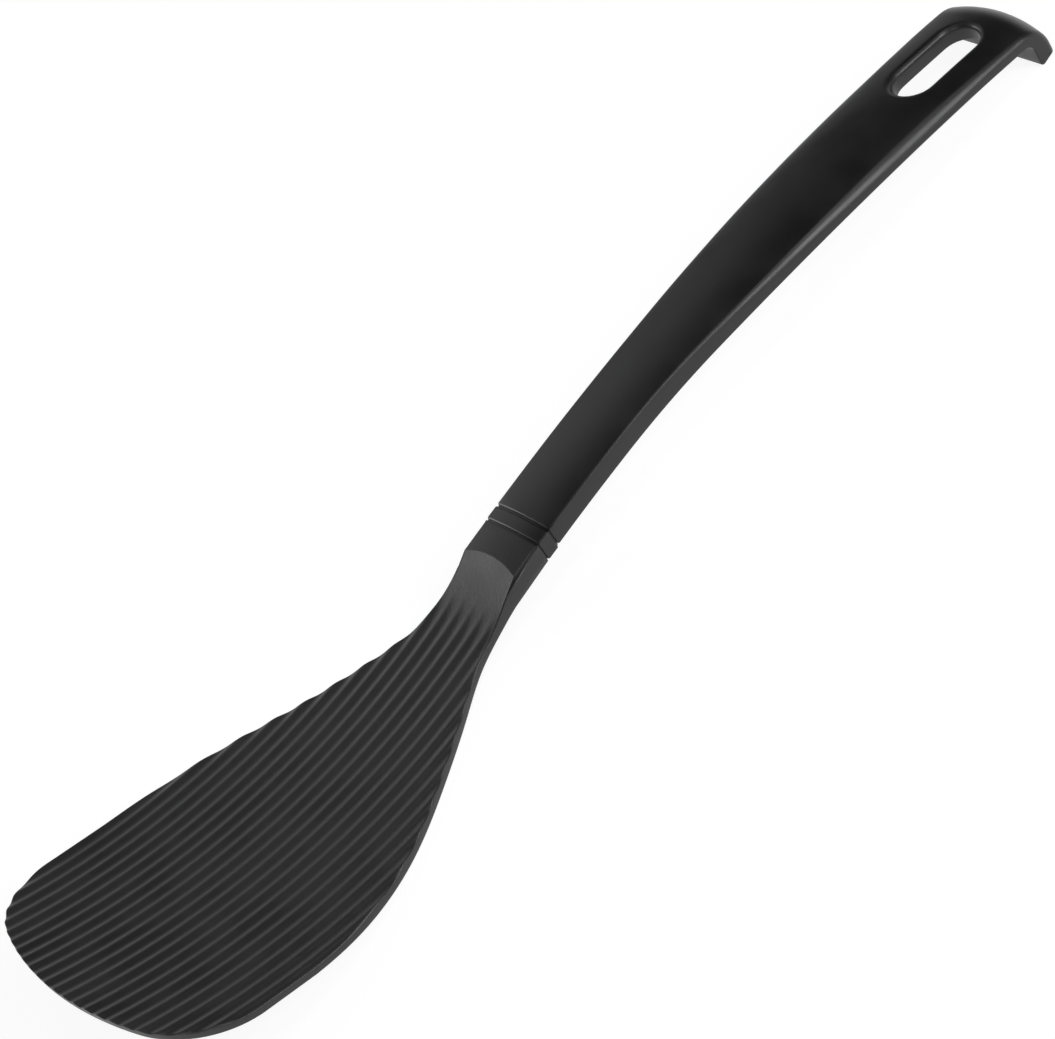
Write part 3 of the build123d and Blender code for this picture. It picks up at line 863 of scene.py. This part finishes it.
def lineSlot(bm, upper, lower):
    # The slot's inner wall between its two mouths, with both rims rounded
    rings = [upper]
    turns = [math.pi / 2 * (step + 1) / slot["rimSteps"] for step in range(slot["rimSteps"])]
    for turn in turns:
        drop, offset = slot["rim"] * (1 - math.cos(turn)), slot["rim"] * (1 - math.sin(turn))
        rings.append(mouthRing(bm, upper, offset, lambda x, y: crownTop(x, y, 0.0) - drop))
    for turn in reversed(turns):
        rise, offset = slot["underRim"] * (1 - math.cos(turn)), slot["underRim"] * (1 - math.sin(turn))
        rings.append(mouthRing(bm, lower, offset, lambda x, y: handleUnder(x) + rise))
    rings.append(lower)
    for first, second in zip(rings, rings[1:]):
        addStrip(bm, first + first[:1], second + second[:1])


def makeHandleMesh():
    bm = bmesh.new()
    stations, opens, closes = handleStations()
    corners, steps, hair = (handleMesh[label] for label in ("cornerSteps", "rowSteps", "hair"))

    def besideMouth(name, place):
        return name == "bar" and opens - hair <= place <= closes + hair

    def skinRow(station, pointAt, edges, mouth):
        # Both halves of a row across the skin, from the side wall to the middle line or the slot's mouth
        name, place, inset = station
        x = place if name == "bar" else handle["endX"]
        half = handleHalf(x) - inset
        start, full, end = handle["edgeGrows"]
        radius = edges[0] + (edges[1] - edges[0]) * ease((x - start) / (full - start)) - inset / 2
        radius += (edges[2] - edges[1]) * ease((x - full) / (end - full))
        inMouth = besideMouth(name, place)
        inner = 0.0
        for _ in range(handleMesh["mouthTries"] if inMouth else 0):
            inner = mouthHalf(pointAt(station, inner)[0], mouth)
        if inMouth and min(place - opens, closes - place) < hair:
            inner = 0.0
        halves = []
        for sign in (-1, 1):
            row = []
            for index in range(corners + steps + 1):
                turn = math.pi / 2 * max(1 - index / corners, 0)
                y = half - radius * (1 - math.sin(turn))
                if index > corners:
                    y += (inner - y) * (index - corners) / steps
                if index == corners + steps and inner == 0 and sign > 0:
                    row.append(halves[0][-1])
                    continue
                skinX, skinZ, inX, inZ = pointAt(station, y)
                drawn = radius * (1 - math.cos(turn))
                row.append(bm.verts.new((skinX + inX * drawn, sign * y, skinZ + inZ * drawn)))
            halves.append(row)
        return halves

    upperMouth, lowerMouth = slot["radius"] + slot["rim"], slot["radius"] + slot["underRim"]
    tops = [skinRow(station, upperPoint, handle["topEdge"], upperMouth) for station in stations]
    lows = [skinRow(station, lowerPoint, handle["lowEdge"], lowerMouth) for station in stations]
    walls = [[wallColumn(bm, top[side][0], low[side][0]) for side in (0, 1)] for top, low in zip(tops, lows)]
    for skin in (tops, lows, walls):
        for here, onward in zip(skin, skin[1:]):
            for side in (0, 1):
                addStrip(bm, here[side], onward[side])
    closeEnds(bm, tops, lows, walls)
    inside = [number for number, (name, place, _) in enumerate(stations) if besideMouth(name, place)]

    def mouthLoop(skin):
        there = [skin[number][0][-1] for number in inside]
        return there + [skin[number][1][-1] for number in inside[-2:0:-1]]

    lineSlot(bm, mouthLoop(tops), mouthLoop(lows))
    stillOpen = sum(1 for edge in bm.edges if len(edge.link_faces) != 2)
    print("handle skin", len(bm.faces), "faces, open edges", stillOpen)
    return finishedMesh(bm, "handleShell")


def coverHalf(x):
    # Half width of the recess for the back cover, with its round corners
    fromEnd = min(x - recess["frontX"], recess["endX"] - x, recess["corner"])
    corner = recess["corner"] - math.sqrt(recess["corner"]**2 - (recess["corner"] - fromEnd)**2)
    return handleHalf(x) - recess["wall"] - corner


def barCutter(xs, halfAt, lowAt, highAt):
    # A bar with a box section that follows the given width and heights
    bm = bmesh.new()
    rings = []
    for x in xs:
        half, low, high = halfAt(x), lowAt(x), highAt(x)
        corners = ((-half, low), (half, low), (half, high), (-half, high))
        rings.append([bm.verts.new((x, y, z)) for y, z in corners])
    for first, second in zip(rings, rings[1:]):
        for index in range(4):
            bm.faces.new((first[index - 1], first[index], second[index], second[index - 1]))
    bm.faces.new(rings[0])
    bm.faces.new(rings[-1])
    return finishedMesh(bm, "cutter")


def boreCutter(x):
    bm = bmesh.new()
    low, high = handleUnder(x), onBow(recess["postTop"], x)
    bmesh.ops.create_cone(bm, cap_ends=True, segments=recess["boreSides"], radius1=recess["boreRadius"],
                          radius2=recess["boreRadius"], depth=high - low,
                          matrix=Matrix.Translation((x, 0, (low + high) / 2)))
    return finishedMesh(bm, "cutter")


def recessCutters():
    # The space for the cover, the pocket and the passage of the tang, and the bores of the cover's posts
    front, end, corner, beyond = recess["frontX"], recess["endX"], recess["corner"], recess["overrun"]
    turns = [math.pi / 2 * step / recess["cornerSteps"] for step in range(recess["cornerSteps"] + 1)]
    rounds = [corner * (1 - math.cos(turn)) for turn in turns]
    xs = [front + step for step in rounds]
    xs += list(np.linspace(front + corner, end - corner, recess["coverPlaces"])[1:-1])
    xs += [end - step for step in reversed(rounds)]
    yield barCutter(xs, coverHalf, lambda x: handleUnder(x) - beyond,
                    lambda x: handleUnder(x) + recess["rise"])
    xs = list(np.linspace(front, recess["tangEndX"], recess["tangPlaces"]))
    yield barCutter(xs, lambda x: recess["tangHalf"], lambda x: handleUnder(x) + recess["rise"] / 2,
                    lambda x: onBow(recess["tangTop"], x))
    xs = list(np.linspace(handle["frontX"] - beyond, front + beyond, recess["passagePlaces"]))
    yield barCutter(xs, lambda x: recess["tangHalf"], lambda x: onBow(recess["tangLow"], x),
                    lambda x: onBow(recess["tangTop"], x))
    for x in recess["postXs"]:
        yield boreCutter(x)


def makeHandleShell():
    item = bpy.data.objects.new("handleShell", makeHandleMesh())
    bpy.context.scene.collection.objects.link(item)
    cutters = []
    for mesh in recessCutters():
        cutter = bpy.data.objects.new("cutter", mesh)
        bpy.context.scene.collection.objects.link(cutter)
        cutters.append(cutter)
        cut = item.modifiers.new("recess", "BOOLEAN")
        cut.operation = "DIFFERENCE"
        cut.solver = "EXACT"
        cut.object = cutter
    ready = item.evaluated_get(bpy.context.evaluated_depsgraph_get())
    plain = bpy.data.meshes.new_from_object(ready)
    item.modifiers.clear()
    item.data = plain
    plain.name = "handleShell"
    for cutter in cutters:
        bpy.data.meshes.remove(cutter.data)
    plain.materials.clear()
    plain.materials.append(finishes["handlePlastic"])
    plain.shade_smooth()
    plain.set_sharp_from_angle(angle=math.radians(handle["sharpAngle"]))
    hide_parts("handle_shell")
    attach(item, "root")
    print("handle shell", len(plain.polygons), "faces")


makeHandleShell()

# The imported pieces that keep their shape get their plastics
keptPieces = {"collar_ring": "ringPlastic", "handle_back_cover": "coverPlastic"}
for nodeName, finish in keptPieces.items():
    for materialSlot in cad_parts[nodeName].material_slots:
        materialSlot.material = finishes[finish]
print("ring and cover painted")

# Table: a plain pale top that the camera and the gloss see as white, with the paddle's own shadow on it
table = {"half": 3.0, "color": 0.86, "roughness": 0.9, "shade": 0.22, "white": 0.88}


def makeTable():
    half = table["half"]
    mesh = bpy.data.meshes.new("tableTop")
    corners = [(-half, -half, 0), (half, -half, 0), (half, half, 0), (-half, half, 0)]
    mesh.from_pydata(corners, [], [(0, 1, 2, 3)])
    item = bpy.data.objects.new("tableTop", mesh)
    bpy.context.scene.collection.objects.link(item)
    material = bpy.data.materials.new("palePaper")
    material.use_nodes = True
    nodes, links = material.node_tree.nodes, material.node_tree.links
    shader = nodes["Principled BSDF"]
    shader.inputs["Base Color"].default_value = (table["color"],) * 3 + (1,)
    shader.inputs["Roughness"].default_value = table["roughness"]
    white = nodes.new("ShaderNodeEmission")
    white.inputs["Strength"].default_value = table["white"]
    shade = nodes.new("ShaderNodeBsdfDiffuse")
    shade.inputs["Color"].default_value = (table["shade"],) * 3 + (1,)
    seen = nodes.new("ShaderNodeAddShader")
    links.new(white.outputs[0], seen.inputs[0])
    links.new(shade.outputs[0], seen.inputs[1])
    mix = nodes.new("ShaderNodeMixShader")
    out = nodes["Material Output"]
    links.new(seenOrReflected(nodes, links), mix.inputs[0])
    links.new(shader.outputs[0], mix.inputs[1])
    links.new(seen.outputs[0], mix.inputs[2])
    links.new(mix.outputs[0], out.inputs["Surface"])
    mesh.materials.append(material)


makeTable()
print("table made")

bpy.context.scene.view_settings.view_transform = "Standard"  # the other view settings stay as they are
